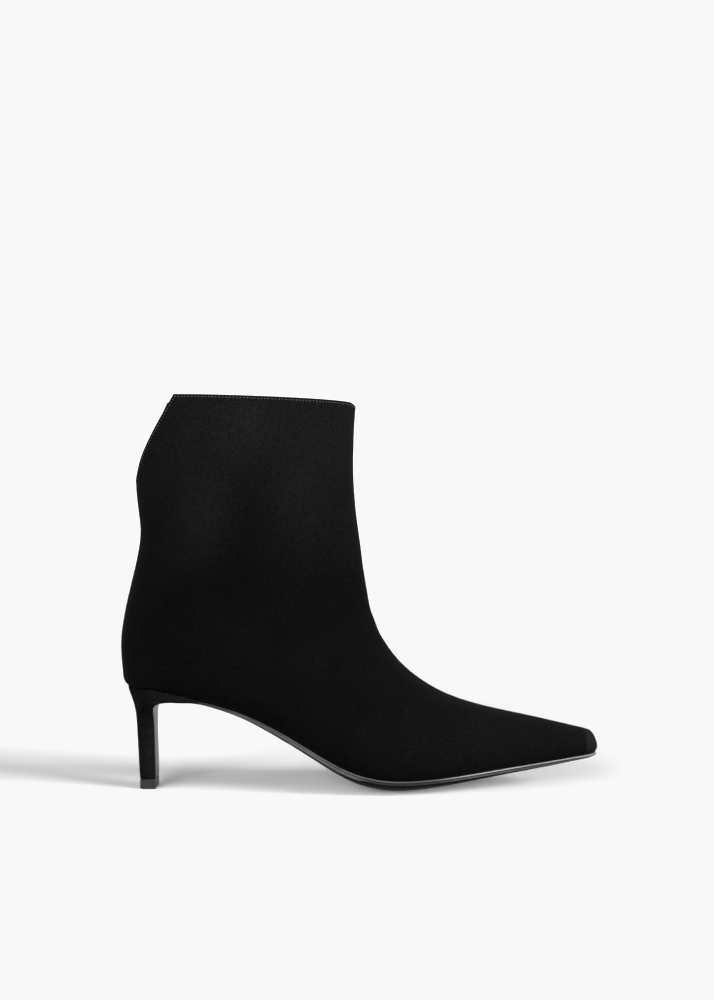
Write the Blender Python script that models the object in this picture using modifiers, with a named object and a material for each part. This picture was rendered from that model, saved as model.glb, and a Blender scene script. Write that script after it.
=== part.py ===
"""Right ankle boot with a pointed toe, a slim covered heel and a notch at the back of its shaft.

The toe points along +X, the inner side of the foot is +Y, and the boot stands on z = 0.
Sizes are in millimetres here, and each mesh is scaled to metres when it is made.
"""

import math
from collections import namedtuple

import bmesh
import bpy
import numpy as np

MM = 0.001
GAP = 0.3                  # clearance where two pieces meet
MERGE = 0.005              # points closer than this are one
SHARP_ANGLE = 40.0         # edges that turn by more degrees are shaded sharp
HALVINGS = 40              # steps of a search for a crossing
SECTION_SAMPLES = 90       # points along half a section, before its columns are placed
LATERAL, MEDIAL = -1, 1    # outer side of a right foot, inner side

# Last: where the bottom line starts and ends, and how round its two ends are in plan
TOE_X = 130.35
HEEL_X = -127.4
TOE_ROUND = 5.5
HEEL_ROUND = 24.0
HEEL_TURN = 12.0           # how softly the sections turn about the heel's corner

# Upper
WALL = 1.8
NOSE_ROWS = 5
FOOT_ROWS = 21
SEAT_ROWS = 6
BACK_ROWS = 8
SHAFT_ROWS = 8
NOTCH_COLUMNS = 6
SIDE_COLUMNS = 15
RIDGE_CROWDING = 1.3       # how much closer the columns lie towards the ridge
ANKLE_ROW = 17             # section above which the wall runs on to the collar edge

# Collar edge: a nearly straight top line and a rounded V notch at the back
CORNER_Z = 211.5
CORNER_X = -98.4
FRONT_Z = 208.4
NOTCH_Z = 166.3
NOTCH_REACH = {LATERAL: 38.6, MEDIAL: 28.0}    # corner to the back line, along the wall
NOTCH_ROUND = 0.27         # roundness of the notch's bottom, as a share of its reach

# Outsole
SOLE_END_X = -85.0
SOLE_LAST_ROW = 2.0        # shortest row at the sole's end
SOLE_INSET = 0.7           # how far the sole's edge lies inside the upper's edge
TREAD_SAG = 5.0            # how far the middle of the tread lies below the sole's edge
TREAD_X = 21.0
TREAD_LENGTH = 52.0

# Heel
HEEL_INSET = 2.0           # how far the heel's top lies inside the upper's edge at the back
POST_WIDTH = 17.0
POST_BACK_X = (-118.95, -120.1)     # at the tip, and where the flare starts
POST_FRONT_X = (-110.5, -111.1)
POST_BACK_ROUND = 3.4
POST_FRONT_ROUND = 0.9
FLARE_Z = 27.0             # where the post starts to widen
BREAST_Z = 42.0            # where the front starts to curve forward under the lip
LIP_Z = 48.2
LIP_X = SOLE_END_X - GAP
FLARE_POWER = 2.8
BREAST_POWER = 2.6
HEEL_CORNER_COLUMNS = 3
HEEL_SIDE_COLUMNS = 8
HEEL_ARC_COLUMNS = 4
HEEL_BACK_COLUMNS = 7
HEEL_LEVELS = [12.0, 19.0, 27.0, 31.0, 35.0, 39.0, 42.0, 44.2, 45.8, 46.2, 46.9, 47.6, 48.0, 48.2]

# Heel breast: a smooth strip let into the heel's front face
BREAST_COVER = 0.9
BREAST_TOP = 45.5
BREAST_SHARE = 0.90        # half width of the strip as a share of the heel's front
RECESS_SHARE = 0.94
HEEL_FRONT_SHARES = [0.0, 0.32, 0.63, RECESS_SHARE, 0.97]

# Heel tip: the hard top piece at the heel's foot
TIP_HEIGHT = 5.4
TIP_EDGE = 0.5

# Insole
INSOLE = 1.5
INSOLE_INSET = WALL + 0.9

# Last sections from the toe to the collar. Each runs from a base point, on the bottom line or on
# the back line, to a ridge point on the instep or on the front of the shaft.
Section = namedtuple("Section", "base_x base_z ridge_x ridge_z seat half belly crown middle ridge_y")
SECTIONS = [
    Section(130.35, 19.2, 130.35, 30.2, 8.0, 8.6, 0.30, 2.20, 4.0, 4.0),
    Section(116.0, 17.5, 116.0, 33.2, 12.6, 13.5, 0.30, 2.15, 4.0, 4.0),
    Section(98.0, 15.6, 98.0, 37.4, 18.8, 20.2, 0.28, 2.10, 3.5, 4.0),
    Section(77.0, 13.5, 77.0, 41.8, 25.6, 27.5, 0.26, 2.05, 2.5, 4.0),
    Section(56.0, 11.0, 59.5, 46.2, 31.0, 33.4, 0.24, 2.00, 1.5, 3.8),
    Section(36.0, 9.1, 45.5, 51.3, 34.6, 37.4, 0.22, 2.00, 0.5, 3.5),
    Section(18.0, 8.4, 34.0, 58.2, 35.2, 38.4, 0.21, 2.00, -0.9, 3.0),
    Section(-4.0, 12.6, 24.8, 65.5, 32.6, 36.6, 0.20, 2.05, -2.2, 2.5),
    Section(-24.0, 23.1, 17.6, 73.5, 28.2, 33.6, 0.19, 2.10, -3.0, 2.0),
    Section(-44.0, 34.5, 12.3, 81.8, 24.6, 31.2, 0.18, 2.20, -3.0, 1.6),
    Section(-64.0, 43.6, 8.6, 90.0, 23.6, 30.0, 0.17, 2.25, -2.2, 1.2),
    Section(-84.0, 49.4, 6.1, 98.0, 24.4, 29.8, 0.18, 2.30, -1.2, 0.9),
    Section(-104.0, 54.0, 4.4, 106.0, 25.4, 30.0, 0.215, 2.35, -0.3, 0.6),
    Section(-127.4, 55.3, 2.4, 118.0, 25.5, 30.2, 0.26, 2.40, 0.0, 0.4),
    Section(-129.4, 66.0, 1.4, 125.6, 0.0, 30.4, 0.28, 2.40, 0.0, 0.3),
    Section(-130.3, 79.0, 0.8, 131.0, 0.0, 30.6, 0.29, 2.40, 0.0, 0.2),
    Section(-125.9, 105.0, -0.6, 141.0, 0.0, 30.4, 0.32, 2.40, 0.0, 0.1),
    Section(-120.4, 129.0, -2.0, 151.5, 0.0, 30.1, 0.36, 2.40, 0.0, 0.0),
    Section(-119.35, 139.0, -2.5, 157.5, 0.0, 30.1, 0.38, 2.40, 0.0, 0.0),
    Section(-121.2, 154.0, -3.1, 166.5, 0.0, 30.4, 0.40, 2.40, 0.0, 0.0),
    Section(-122.55, 167.0, -3.35, 175.0, 0.0, 30.8, 0.42, 2.40, 0.0, 0.0),
    Section(-123.0, 190.0, -3.0, 191.0, 0.0, 31.5, 0.44, 2.40, 0.0, 0.0),
    Section(-123.0, 214.0, -2.0, 208.6, 0.0, 32.0, 0.45, 2.40, 0.0, 0.0),
]
HEEL_ROW = 13              # section whose base is the back end of the bottom line

# Thickness of the sole's edge along the boot
SoleEdge = namedtuple("SoleEdge", "x thickness")
SOLE_EDGES = [
    SoleEdge(-86.0, 1.4),
    SoleEdge(-64.0, 2.5),
    SoleEdge(-44.0, 4.0),
    SoleEdge(-10.0, 4.5),
    SoleEdge(21.0, 4.3),
    SoleEdge(60.0, 3.9),
    SoleEdge(98.0, 3.1),
    SoleEdge(131.0, 2.0),
]

# Side of the sole from its top rim down: share of the thickness, and inset from the outline
SoleStep = namedtuple("SoleStep", "share inset")
SOLE_STEPS = [
    SoleStep(0.00, 0.10),
    SoleStep(0.16, 0.00),
    SoleStep(0.26, 0.50),
    SoleStep(0.36, 0.50),
    SoleStep(0.46, 0.10),
    SoleStep(0.62, 0.25),
    SoleStep(0.84, 1.20),
    SoleStep(1.00, 2.80),
]
TREAD_COLUMNS = 8
BED_COLUMNS = 4

Finish = namedtuple("Finish", "colour roughness")
SUEDE = Finish((0.012, 0.011, 0.012), 0.95)
SOLE_BLACK = Finish((0.022, 0.022, 0.023), 0.45)
BREAST_BLACK = Finish((0.030, 0.030, 0.031), 0.35)
TIP_BLACK = Finish((0.028, 0.028, 0.029), 0.5)
SOCK = Finish((0.020, 0.019, 0.018), 0.6)


def smooth_through(knots, values):
    """A smooth curve through values at rising knots that never overshoots them, as a function."""
    knots = np.asarray(knots, float)
    values = np.asarray(values, float)
    steps = np.diff(knots)
    slopes = np.diff(values) / steps
    tangents = np.zeros(len(knots))
    tangents[0], tangents[-1] = slopes[0], slopes[-1]
    for i in range(1, len(knots) - 1):
        before, after = slopes[i - 1], slopes[i]
        if before * after > 0:
            weight_before = 2 * steps[i] + steps[i - 1]
            weight_after = steps[i] + 2 * steps[i - 1]
            total = weight_before + weight_after
            tangents[i] = total / (weight_before / before + weight_after / after)

    def at(knot):
        i = int(np.clip(np.searchsorted(knots, knot) - 1, 0, len(steps) - 1))
        t = (knot - knots[i]) / steps[i]
        start = values[i] * (1 + 2 * t) * (1 - t) ** 2 + tangents[i] * steps[i] * t * (1 - t) ** 2
        end = values[i + 1] * t * t * (3 - 2 * t) + tangents[i + 1] * steps[i] * t * t * (t - 1)
        return start + end

    return at


def base_stations():
    """Distance of each section along the bottom line and up the back line."""
    base = np.array([(row.base_x, row.base_z) for row in SECTIONS])
    steps = np.hypot(*np.diff(base, axis=0).T)
    return np.concatenate(([0.0], np.cumsum(steps)))


STATIONS = base_stations()
HEEL_STATION = STATIONS[HEEL_ROW]
ANKLE_STATION = STATIONS[ANKLE_ROW]


def pace(station):
    """Even progress of the sections: they turn about the heel's corner while the base slows down."""
    distance = station - HEEL_STATION
    return math.copysign(math.sqrt((abs(distance) + HEEL_TURN) ** 2 - HEEL_TURN ** 2), distance)


def last_curves():
    """Each column of the section table as a smooth function of the station."""
    paces = [pace(station) for station in STATIONS]
    curves = {}
    for name in Section._fields:
        values = [getattr(row, name) for row in SECTIONS]
        if name.startswith("base"):
            curves[name] = smooth_through(STATIONS, values)
        else:
            curve = smooth_through(paces, values)
            curves[name] = lambda station, curve=curve: curve(pace(station))
    return curves


LAST = last_curves()
edge_thickness = smooth_through(*zip(*SOLE_EDGES))


def bisect(function, low, high):
    """Where a rising function crosses zero."""
    for _ in range(HALVINGS):
        middle = (low + high) / 2
        if function(middle) < 0:
            low = middle
        else:
            high = middle
    return (low + high) / 2


def station_at(x):
    """Station of the bottom line at x."""
    return bisect(lambda station: x - LAST["base_x"](station), 0.0, HEEL_STATION)


def end_round(distance, radius):
    """Share of the full width left at a distance from a round end."""
    if distance >= radius:
        return 1.0
    return math.sqrt(max(0.0, 1.0 - (1.0 - max(distance, 0.0) / radius) ** 2))


def seat_half(station):
    """Half width of the bottom line, rounded off at the toe and at the heel."""
    if station >= HEEL_STATION:
        return 0.0
    x = LAST["base_x"](station)
    return LAST["seat"](station) * end_round(TOE_X - x, TOE_ROUND) * end_round(x - HEEL_X, HEEL_ROUND)


def bottom_z(x):
    return LAST["base_z"](station_at(x))


def section_line(station, side):
    """One half of a section's outer line, from its base to its ridge, as close points."""
    row = {name: LAST[name](station) for name in Section._fields}
    nose = end_round(TOE_X - row["base_x"], TOE_ROUND) if station < STATIONS[1] else 1.0
    half = row["half"] * nose
    if half == 0:
        return np.array([(row["base_x"], row["middle"], row["base_z"])] * SECTION_SAMPLES)
    start = math.acos(min(1.0, seat_half(station) / half))
    angles = np.linspace(-start, math.pi / 2, SECTION_SAMPLES)
    power = 2 / row["crown"]
    below = row["belly"] * (1 + np.sin(np.minimum(angles, 0)) / math.sin(start))
    above = (1 - row["belly"]) * np.abs(np.sin(np.maximum(angles, 0))) ** power
    rise = np.where(angles < 0, below, row["belly"] + above)
    out = half * np.where(angles < 0, np.cos(angles), np.abs(np.cos(angles)) ** power)
    x = row["base_x"] + (row["ridge_x"] - row["base_x"]) * rise
    y = row["middle"] + (row["ridge_y"] - row["middle"]) * rise + side * out
    z = row["base_z"] + (row["ridge_z"] - row["base_z"]) * rise * nose
    return np.column_stack((x, y, z))


def along(line, share):
    """Point at a share of a line's length."""
    lengths = np.concatenate(([0.0], np.cumsum(np.linalg.norm(np.diff(line, axis=0), axis=1))))
    return np.array([np.interp(share * lengths[-1], lengths, line[:, i]) for i in range(3)])


def wall_point(station, side, share):
    return along(section_line(station, side), share)


def notch_share(side):
    """Share of the half section between the back line and the notch's corner."""
    line = section_line(STATIONS[-2], side)
    return NOTCH_REACH[side] / np.linalg.norm(np.diff(line, axis=0), axis=1).sum()


def collar_station(side, share):
    """Station at which one column of the wall meets the collar edge."""
    corner = notch_share(side)

    def above_edge(station):
        x, _, z = wall_point(station, side, share)
        if share < corner:
            rise = math.hypot(share / corner, NOTCH_ROUND) - NOTCH_ROUND
            edge = NOTCH_Z + (CORNER_Z - NOTCH_Z) * rise / (math.hypot(1, NOTCH_ROUND) - NOTCH_ROUND)
        else:
            edge = CORNER_Z + (FRONT_Z - CORNER_Z) * (x - CORNER_X) / -CORNER_X
        return z - edge

    return bisect(above_edge, ANKLE_STATION, STATIONS[-1])


def cosine_steps(radius, count):
    """Distances from a round end that turn by equal angles."""
    return [radius * (1 - math.cos(math.pi / 2 * i / count)) for i in range(count)]


def foot_stations():
    """Stations of the mesh rows from the toe to the back of the heel seat."""
    nose = [station_at(TOE_X - d) for d in cosine_steps(TOE_ROUND, NOSE_ROWS)]
    seat = [station_at(HEEL_X + d) for d in cosine_steps(HEEL_ROUND, SEAT_ROWS)]
    start, end = station_at(TOE_X - TOE_ROUND), station_at(HEEL_X + HEEL_ROUND)
    nose[0], seat[0] = 0.0, HEEL_STATION
    return nose + list(np.linspace(start, end, FOOT_ROWS)) + seat[::-1]


FOOT_STATIONS = foot_stations()


def wall_columns(side):
    """Shares of a half section at which the mesh has a column, one of them at the notch's corner."""
    corner = notch_share(side)
    notch = np.linspace(0, corner, NOTCH_COLUMNS, endpoint=False)
    side = 1 - (1 - corner) * np.linspace(1, 0, SIDE_COLUMNS) ** RIDGE_CROWDING
    return list(notch) + list(side)


def upper_grid():
    """Outer wall points, row by row from the toe to the collar, across from side to side."""
    turns = np.linspace(0, pace(ANKLE_STATION), BACK_ROWS)[1:]
    back = [HEEL_STATION + math.hypot(turn, HEEL_TURN) - HEEL_TURN for turn in turns]
    columns = [(LATERAL, share) for share in wall_columns(LATERAL)]
    columns += [(MEDIAL, share) for share in wall_columns(MEDIAL)[-2::-1]]
    rows = [[wall_point(station, *column) for column in columns] for station in FOOT_STATIONS + back]
    edges = [collar_station(*column) for column in columns]
    for i in range(1, SHAFT_ROWS + 1):
        share = i / SHAFT_ROWS
        rows.append([wall_point(ANKLE_STATION + (edge - ANKLE_STATION) * share, *column)
                     for column, edge in zip(columns, edges)])
    return rows


def outline_point(station, side, inset=0.0):
    """Point of the bottom line's outline in plan, moved inwards by an inset."""
    nudge = 0.02

    def plan(at):
        return np.array((LAST["base_x"](at), LAST["middle"](at) + side * seat_half(at)))

    if station <= 0.0 or station >= HEEL_STATION:
        inward = np.array((-1.0 if station <= 0.0 else 1.0, 0.0))
    else:
        tangent = plan(min(station + nudge, HEEL_STATION)) - plan(max(station - nudge, 0.0))
        inward = np.array((-tangent[1], tangent[0])) * side / np.linalg.norm(tangent)
    return plan(station) + inward * inset


def tread_sag(x):
    """How far the middle of the sole hangs below its edge."""
    return TREAD_SAG * math.exp(-((x - TREAD_X) / TREAD_LENGTH) ** 2)


def sole_ring(station):
    """One closed section of the sole: outer side down, tread across, inner side up, bed across."""
    x = LAST["base_x"](station)
    top = LAST["base_z"](station) - GAP
    thickness = edge_thickness(x)

    def side_points(side):
        points = []
        for step in SOLE_STEPS:
            plan = outline_point(station, side, SOLE_INSET + step.inset)
            points.append(np.array((plan[0], plan[1], max(0.0, top - step.share * thickness))))
        return points

    outer, inner = side_points(LATERAL), side_points(MEDIAL)
    tread, bed = [], []
    for i in range(1, TREAD_COLUMNS):
        share = i / TREAD_COLUMNS
        point = outer[-1] + (inner[-1] - outer[-1]) * share
        point[2] = max(0.0, point[2] - tread_sag(x) * (1 - (2 * share - 1) ** 2))
        tread.append(point)
    for i in range(1, BED_COLUMNS):
        bed.append(inner[0] + (outer[0] - inner[0]) * i / BED_COLUMNS)
    return outer + tread + inner[::-1] + bed + [outer[0]]


def sole_grid():
    end = station_at(SOLE_END_X)
    stations = [station for station in FOOT_STATIONS if station < end - SOLE_LAST_ROW] + [end]
    return [sole_ring(station) for station in stations]


def insole_ring(station):
    """One closed section of the insole."""
    low = LAST["base_z"](station)
    points = []
    for side, lift in ((LATERAL, 0.0), (MEDIAL, 0.0), (MEDIAL, INSOLE), (LATERAL, INSOLE)):
        plan = outline_point(station, side, INSOLE_INSET)
        points.append(np.array((plan[0], plan[1], low + lift)))
    return points + [points[0]]


def insole_grid():
    return [insole_ring(station) for station in FOOT_STATIONS]


def heel_seat_outline(side):
    """Half outline of the heel's top, from the middle of its front lip to the back."""
    end = station_at(LIP_X)
    corner = outline_point(end, side)

    def seat_point(x):
        inset = HEEL_INSET * smooth_step(x, LIP_X, HEEL_X)
        return outline_point(station_at(x) if x > HEEL_X else HEEL_STATION, side, inset)

    middle = np.array((corner[0], LAST["middle"](end)))
    points = [middle + (corner - middle) * share for share in HEEL_FRONT_SHARES]
    straight = np.linspace(corner[0], HEEL_X + HEEL_ROUND, HEEL_SIDE_COLUMNS, endpoint=False)
    points += [seat_point(x) for x in straight]
    turns = cosine_steps(HEEL_ROUND, HEEL_BACK_COLUMNS)[::-1]
    return points + [seat_point(HEEL_X + distance) for distance in turns]


def post_side(z):
    """Front and back of the heel's post at a height."""
    rise = (z - TIP_HEIGHT) / (FLARE_Z - TIP_HEIGHT)
    front = POST_FRONT_X[0] + (POST_FRONT_X[1] - POST_FRONT_X[0]) * rise
    back = POST_BACK_X[0] + (POST_BACK_X[1] - POST_BACK_X[0]) * rise
    return front, back


def post_outline(z, side):
    """Half outline of the heel's post, with as many points as the seat's half outline."""
    front, back = post_side(z)
    half = POST_WIDTH / 2
    flat = half - POST_FRONT_ROUND
    points = [np.array((front, side * flat * share)) for share in HEEL_FRONT_SHARES]
    for i in range(HEEL_CORNER_COLUMNS):
        turn = math.pi / 2 * i / (HEEL_CORNER_COLUMNS - 1)
        points.append(np.array((front - POST_FRONT_ROUND * (1 - math.cos(turn)),
                                side * (flat + POST_FRONT_ROUND * math.sin(turn)))))
    run = HEEL_SIDE_COLUMNS - HEEL_CORNER_COLUMNS
    for i in range(1, run + 1):
        x = front - POST_FRONT_ROUND + (back + POST_BACK_ROUND - front + POST_FRONT_ROUND) * i / run
        points.append(np.array((x, side * half)))
    back_flat = half - POST_BACK_ROUND
    for i in range(1, HEEL_ARC_COLUMNS + 1):
        turn = math.pi / 2 * i / HEEL_ARC_COLUMNS
        points.append(np.array((back + POST_BACK_ROUND * (1 - math.sin(turn)),
                                side * (back_flat + POST_BACK_ROUND * math.cos(turn)))))
    back_columns = HEEL_BACK_COLUMNS - HEEL_ARC_COLUMNS
    for i in range(1, back_columns + 1):
        points.append(np.array((back, side * back_flat * (1 - i / back_columns))))
    return points


def around(half_outline):
    """Both halves of an outline as one closed run, from the front middle round the outer side."""
    outer, inner = half_outline(LATERAL), half_outline(MEDIAL)
    return outer + inner[-2::-1]


def smooth_step(value, low, high):
    t = min(1.0, max(0.0, (value - low) / (high - low)))
    return t * t * (3 - 2 * t)


def heel_flare(z, seat_x):
    """Shares of the way from the post to the seat's outline at a height, along the boot and across."""
    spread = max(0.0, (z - FLARE_Z) / (bottom_z(HEEL_X + HEEL_ROUND) - FLARE_Z)) ** FLARE_POWER
    climb = min(1.0, max(0.0, (z - BREAST_Z) / (LIP_Z - BREAST_Z)))
    fillet = 1 - (1 - climb ** BREAST_POWER) ** (1 / BREAST_POWER)
    forward = smooth_step(seat_x, POST_BACK_X[0], HEEL_X + HEEL_ROUND)
    return np.array((spread + (fillet - spread) * forward, 1 - (1 - spread) * (1 - fillet * forward)))


def heel_outline(z, side):
    """Half outline of the heel at a height, between its post and its seat."""
    pairs = zip(heel_seat_outline(side), post_outline(z, side))
    return [post + (seat - post) * heel_flare(z, seat[0]) for seat, post in pairs]


def recessed_outline(z, side):
    """The same with its front face set back, where the breast strip lies."""
    points = heel_outline(z, side)
    for i, share in enumerate(HEEL_FRONT_SHARES):
        if share <= RECESS_SHARE:
            points[i][0] -= BREAST_COVER + GAP
    return points


def level_row(outline, z):
    return [np.array((x, y, z)) for x, y in outline]


def heel_grid():
    """Outlines of the heel from its foot to its seat."""
    rows = []
    for z in [TIP_HEIGHT + GAP] + HEEL_LEVELS:
        half_outline = recessed_outline if z <= BREAST_TOP + 2 * GAP else heel_outline
        rows.append(level_row(around(lambda side: half_outline(z, side)), z))
    rows.append([np.array((x, y, bottom_z(x) - GAP)) for x, y in around(heel_seat_outline)])
    return rows


def breast_grid():
    """Closed sections of the strip, flush with the heel's front face."""
    rows = []
    for z in [TIP_HEIGHT + GAP] + [level for level in HEEL_LEVELS if level < BREAST_TOP] + [BREAST_TOP]:
        corner = len(HEEL_FRONT_SHARES)
        outer, inner = (heel_outline(z, side)[corner] for side in (LATERAL, MEDIAL))
        middle, reach = (outer + inner) / 2, (outer - inner) / 2 * BREAST_SHARE
        depth = np.array((BREAST_COVER, 0.0))
        ring = [middle + reach, middle - reach, middle - reach - depth, middle + reach - depth]
        rows.append(level_row(ring + ring[:1], z))
    return rows


def tip_grid():
    rows = []
    for z, inset in ((0.0, TIP_EDGE), (TIP_EDGE, 0.0), (TIP_HEIGHT, 0.0)):
        outline = around(lambda side: post_outline(TIP_HEIGHT, side))
        centre = np.mean(outline, axis=0)
        row = []
        for point in outline:
            inward = centre - point
            plan = point + inward / np.linalg.norm(inward) * inset
            row.append(np.array((plan[0], plan[1], z)))
        rows.append(row)
    return rows


def grid_mesh(name, rows, closed_ends=False):
    """A mesh of a grid of points, merged where its edges meet."""
    surface = bmesh.new()
    columns = len(rows[0]) - 1
    bmesh.ops.create_grid(surface, x_segments=columns, y_segments=len(rows) - 1, size=0.5)
    for vertex in surface.verts:
        column = round((vertex.co.x + 0.5) * columns)
        row = round((vertex.co.y + 0.5) * (len(rows) - 1))
        vertex.co = rows[row][column] * MM
    bmesh.ops.remove_doubles(surface, verts=surface.verts, dist=MERGE * MM)
    if closed_ends:
        rims = [edge for edge in surface.edges if edge.is_boundary]
        caps = bmesh.ops.holes_fill(surface, edges=rims)["faces"]
        bmesh.ops.triangulate(surface, faces=caps, ngon_method="BEAUTY")
    mesh = bpy.data.meshes.new(name)
    surface.to_mesh(mesh)
    surface.free()
    return mesh


def face_out(mesh):
    """Turn a closed mesh's faces outwards."""
    solid = bmesh.new()
    solid.from_mesh(mesh)
    bmesh.ops.recalc_face_normals(solid, faces=solid.faces)
    solid.to_mesh(mesh)
    solid.free()


def finish_material(name, finish):
    material = bpy.data.materials.new(name)
    material.use_nodes = True
    shader = material.node_tree.nodes["Principled BSDF"]
    shader.inputs["Base Color"].default_value = (*finish.colour, 1.0)
    shader.inputs["Roughness"].default_value = finish.roughness
    shader.inputs["Metallic"].default_value = 0.0
    return material


def add_piece(boot, mesh, finish, parent):
    """One named piece of the boot, with its own material."""
    mesh.materials.append(finish_material(mesh.name + "_finish", finish))
    mesh.shade_smooth()
    mesh.set_sharp_from_angle(angle=math.radians(SHARP_ANGLE))
    piece = bpy.data.objects.new(mesh.name, mesh)
    piece.parent = parent
    boot.objects.link(piece)
    return piece


def give_wall(piece, thickness, offset):
    wall = piece.modifiers.new("wall", "SOLIDIFY")
    wall.thickness = thickness * MM
    wall.offset = offset
    wall.use_even_offset = True
    wall.use_quality_normals = True


def main():
    for item in list(bpy.data.objects):
        bpy.data.objects.remove(item)
    boot = bpy.data.collections.new("ankle_boot")
    bpy.context.scene.collection.children.link(boot)
    root = bpy.data.objects.new("boot_root", None)
    boot.objects.link(root)

    upper = add_piece(boot, grid_mesh("upper", upper_grid()), SUEDE, root)
    give_wall(upper, WALL, -1.0)

    outsole = grid_mesh("outsole", sole_grid(), closed_ends=True)
    face_out(outsole)
    add_piece(boot, outsole, SOLE_BLACK, root)

    insole = grid_mesh("insole", insole_grid())
    face_out(insole)
    add_piece(boot, insole, SOCK, root)

    heel = grid_mesh("heel", heel_grid(), closed_ends=True)
    face_out(heel)
    add_piece(boot, heel, SUEDE, root)

    breast = grid_mesh("heel_breast", breast_grid(), closed_ends=True)
    face_out(breast)
    add_piece(boot, breast, BREAST_BLACK, root)

    tip = grid_mesh("heel_tip", tip_grid(), closed_ends=True)
    face_out(tip)
    add_piece(boot, tip, TIP_BLACK, root)


main()
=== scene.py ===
"""Dresses the frame of a pointed ankle boot in suede, lining leather, sole leather and thread."""

import math
from collections import namedtuple

import bmesh
import bpy
from bpy.props import FloatProperty, FloatVectorProperty, IntProperty, PointerProperty
from mathutils import Matrix, Vector, noise
from mathutils.bvhtree import BVHTree
from mathutils.kdtree import KDTree


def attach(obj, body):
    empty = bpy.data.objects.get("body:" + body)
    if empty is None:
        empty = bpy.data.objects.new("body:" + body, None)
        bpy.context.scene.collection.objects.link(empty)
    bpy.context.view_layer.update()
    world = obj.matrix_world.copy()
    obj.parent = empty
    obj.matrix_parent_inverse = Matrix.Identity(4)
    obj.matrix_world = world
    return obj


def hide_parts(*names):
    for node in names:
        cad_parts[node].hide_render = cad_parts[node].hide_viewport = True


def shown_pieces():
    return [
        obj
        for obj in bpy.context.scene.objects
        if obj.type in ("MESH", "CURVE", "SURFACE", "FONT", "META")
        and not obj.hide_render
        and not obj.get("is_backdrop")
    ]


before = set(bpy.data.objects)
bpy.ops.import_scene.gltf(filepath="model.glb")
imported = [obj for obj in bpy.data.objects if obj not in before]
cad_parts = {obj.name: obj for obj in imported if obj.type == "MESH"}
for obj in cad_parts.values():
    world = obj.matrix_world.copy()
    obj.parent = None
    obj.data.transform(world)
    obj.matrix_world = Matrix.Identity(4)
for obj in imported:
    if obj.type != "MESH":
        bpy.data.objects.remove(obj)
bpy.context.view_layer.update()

bl_info = {
    "name": "Suede Ankle Boot",
    "version": (1, 0, 0),
    "blender": (4, 5, 0),
    "location": "View3D > Sidebar > Boot",
    "description": "Dresses the frame of a pointed ankle boot in suede, leather and thread",
    "category": "Object",
}

MM = 0.001

# How a copy of a frame mesh is merged, joined into quads, and parted at its folds and corners
MERGE = 0.001 * MM
QUAD_BEND = math.radians(30)
WALL_FOLD = math.radians(73.5)
CORNER_TURN = math.radians(35)
FAN = 12

# How often a form's faces are halved, and how sharp those edges stay that turn more than this
HALVINGS = 2
Held = namedtuple("Held", "turn share")
INSOLE_EDGES = Held(math.radians(40), 0.55)
SOLE_EDGES = Held(math.radians(28), 0.8)
HEEL_EDGES = Held(math.radians(40), 0.85)
BREAST_EDGES = Held(math.radians(40), 0.8)
TIP_EDGES = Held(math.radians(30), 0.8)

# Soft unevenness of the suede, and how far the collar's dip reaches down
UNEVEN_SIZE = 26 * MM
UNEVEN_HEIGHT = 0.12 * MM
DIP_REACH = 12 * MM

# In front of this the suede's faces meet in one point, so its lower edge turns in by a held slope
TOE_END = 122 * MM
TOE_EDGE_TURN = (-0.26, -0.20)

# The lining's gap to the suede, its fade below the collar in drops, and its end at the stiff toe
LINING_GAP = 0.05 * MM
LINING_FADE = 4
LINING_END = 108 * MM

# A wall's edges are rounded by this share of its thickness
ROUNDED_SHARE = 0.35
ROUNDED_STEPS = 2

# Behind this the seam over the heel climbs and moves back, most at these heights
SEAT_START = -96 * MM
SEAT_RUN = 30 * MM
SEAT_RISE, SEAT_RISE_HEIGHT, SEAT_RISE_REACH = 2.0 * MM, 54 * MM, 12 * MM
SEAT_BACK, SEAT_BACK_HEIGHT, SEAT_BACK_REACH = 1.05 * MM, 52 * MM, 7 * MM

# The front of the heel's stem stands forward by this, from here on and below here
STEM_FRONT = 0.4 * MM
STEM_BACK, STEM_RUN = -118 * MM, 6 * MM
STEM_TOP, STEM_FADE = 52 * MM, 10 * MM

# A cut this far in front of the sole's rear end lets that end run back into the heel, and up
SOLE_END = 0.9 * MM
SOLE_OVERLAP = 9 * MM
SOLE_LIFT = 0.35 * MM

# In front of the heel the sole's lower face comes down by this, and less over this reach
SOLE_FLARE = 0.5 * MM
SOLE_FLARE_REACH = 18 * MM

# The tread rises a little towards its sides
EDGE_RISE = 0.45 * MM
EDGE_RISE_BELOW = 4 * MM
EDGE_RISE_REACH = 26 * MM

# Faces that point lower than this are tread, and from the ball on those below the edge too
TREAD_TURN = -0.6
EDGE_START = 0.0
EDGE_HEIGHT = 1.8 * MM

# Faces that point higher than this are the sole's upper face, and its rim is noted in steps
RIM_TURN = 0.5
RIM_STEPS = 6

# Along the sole's edge: where the painted reflection on the band of the arch and the painted
# highlights on the rim at the ball and at the forefoot set in
ARCH = (-86 * MM, -58 * MM)
BALL = (-6 * MM, 8 * MM)
FOREFOOT = (38 * MM, 58 * MM)

# Down the sole's edge from its rim: soft steps of the band with its painted reflection, of the rim
# with its painted highlight, and of the rib
BAND_TOP = (-1.2 * MM, -0.2 * MM)
BAND_MIDDLE = (1.7 * MM, 0.8 * MM)
BAND_FOOT = (2.7 * MM, 2.1 * MM)
RIM_TOP = (-0.3 * MM, 0.0)
RIM_FOOT = (1.0 * MM, 0.6 * MM)
RIB_TOP = (1.15 * MM, 1.4 * MM)
RIB_FOOT = (1.95 * MM, 1.65 * MM)

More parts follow.
